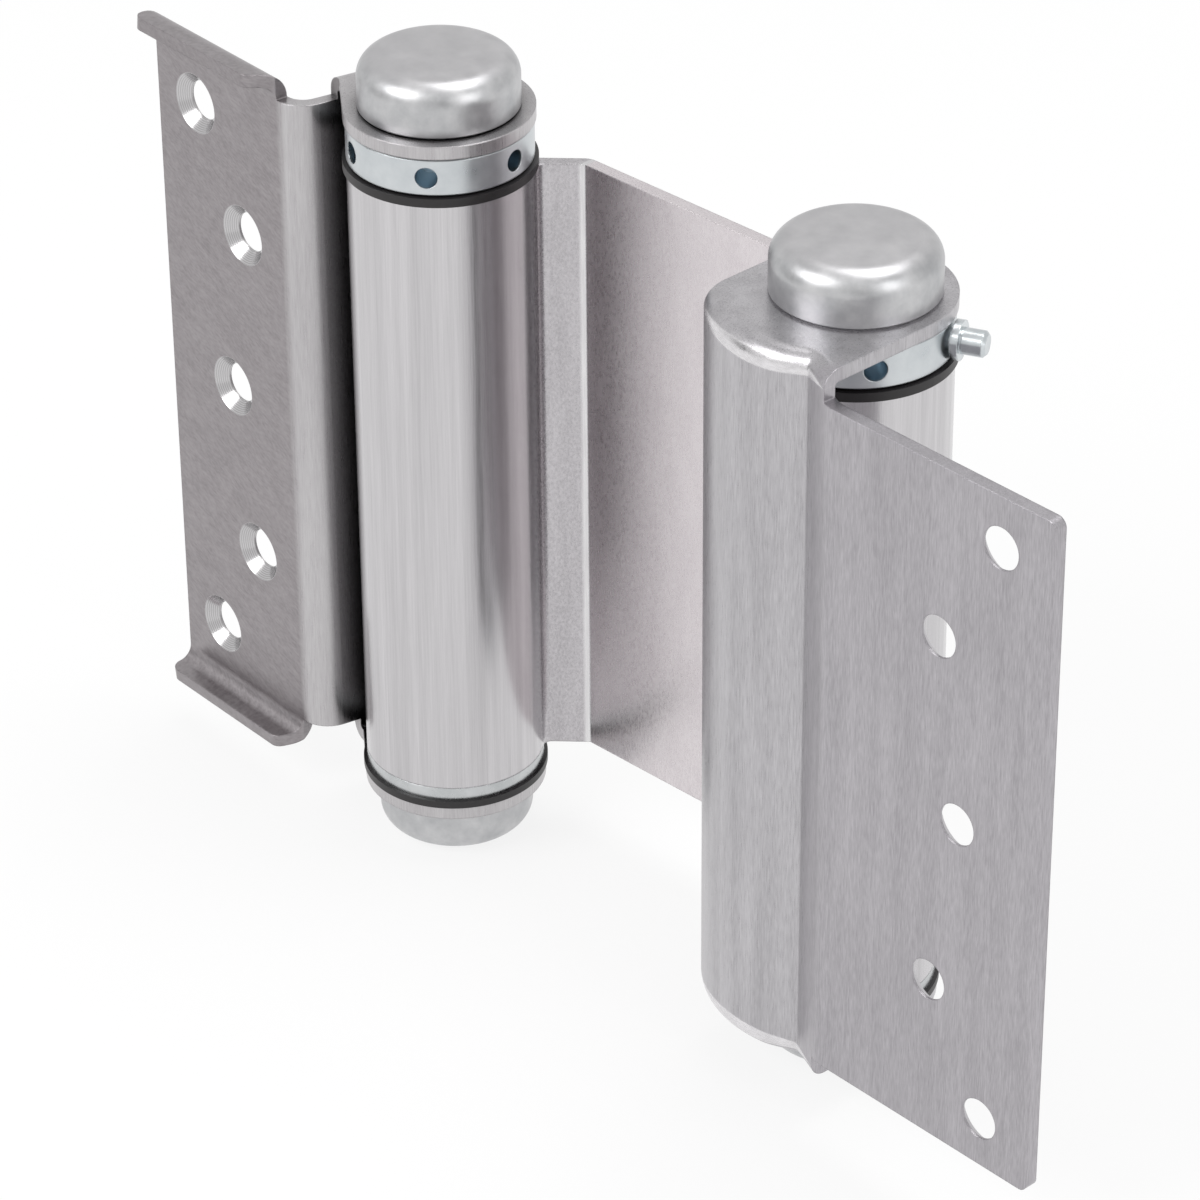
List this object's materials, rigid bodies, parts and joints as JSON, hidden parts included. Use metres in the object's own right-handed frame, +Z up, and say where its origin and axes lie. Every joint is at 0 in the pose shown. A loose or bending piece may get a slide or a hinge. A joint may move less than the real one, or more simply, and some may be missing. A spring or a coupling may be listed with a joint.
{
  "type": "double action spring hinge",
  "caption": "Double action spring hinge for a swing door: a rolled plate with a barrel at each edge, and a screw-on leaf turning on each barrel.",
  "frame": {"origin": "midway between the outer screw holes of the frame leaf, on its mounting face", "axes": "+Z up along the barrels, +X along the frame leaf towards its barrel, +Y into the door frame behind the leaf"},
  "size_m": [0.2068, 0.0425, 0.144],
  "materials": {
    "leaf_steel": "brushed stainless",
    "barrel_steel": "satin drawn stainless",
    "zinc": "smooth zinc plate",
    "black_plastic": "satin",
    "spring_steel": "oiled"
  },
  "bodies": {
    "frame": {"frame_leaf": "leaf_steel", "spindle_a": "spring_steel", "cap_upper_a": "zinc", "cap_lower_a": "zinc"},
    "plate": {"middle_plate": "barrel_steel", "ring_a": "zinc", "ring_b": "zinc", "washer_upper_a": "black_plastic", "washer_upper_b": "black_plastic", "washer_lower_a": "black_plastic", "washer_lower_b": "black_plastic", "spring_a": "spring_steel", "spring_b": "spring_steel"},
    "door": {"door_leaf": "leaf_steel", "spindle_b": "spring_steel", "cap_upper_b": "zinc", "cap_lower_b": "zinc"},
    "collar_a": {"collar_a": "zinc"},
    "collar_b": {"collar_b": "zinc"},
    "pin": {"tension_pin": "zinc"}
  },
  "joints": [
    {"name": "frame_hinge", "type": "hinge", "parent": "frame", "child": "plate", "pos_m": [0.0465, 0.0118, 0], "axis": [0, 0, 1], "range_deg": [-185, 95], "stiffness_Nm_per_rad": 0.3},
    {"name": "door_hinge", "type": "hinge", "parent": "plate", "child": "door", "pos_m": [0.13444, 0.0198, 0], "axis": [0, 0, 1], "range_deg": [-75, 182], "stiffness_Nm_per_rad": 0.3},
    {"name": "collar_a_turn", "type": "hinge", "parent": "frame", "child": "collar_a", "pos_m": [0.0465, 0.0118, 0], "axis": [0, 0, 1], "range_deg": [-180, 180]},
    {"name": "collar_b_turn", "type": "hinge", "parent": "door", "child": "collar_b", "pos_m": [0.13444, 0.0198, 0], "axis": [0, 0, 1], "range_deg": [-75, 175]},
    {"name": "pin_pull", "type": "slide", "parent": "collar_b", "child": "pin", "axis": [0.8738, 0.4863, 0], "range_m": [0, 0.012]}
  ]
}
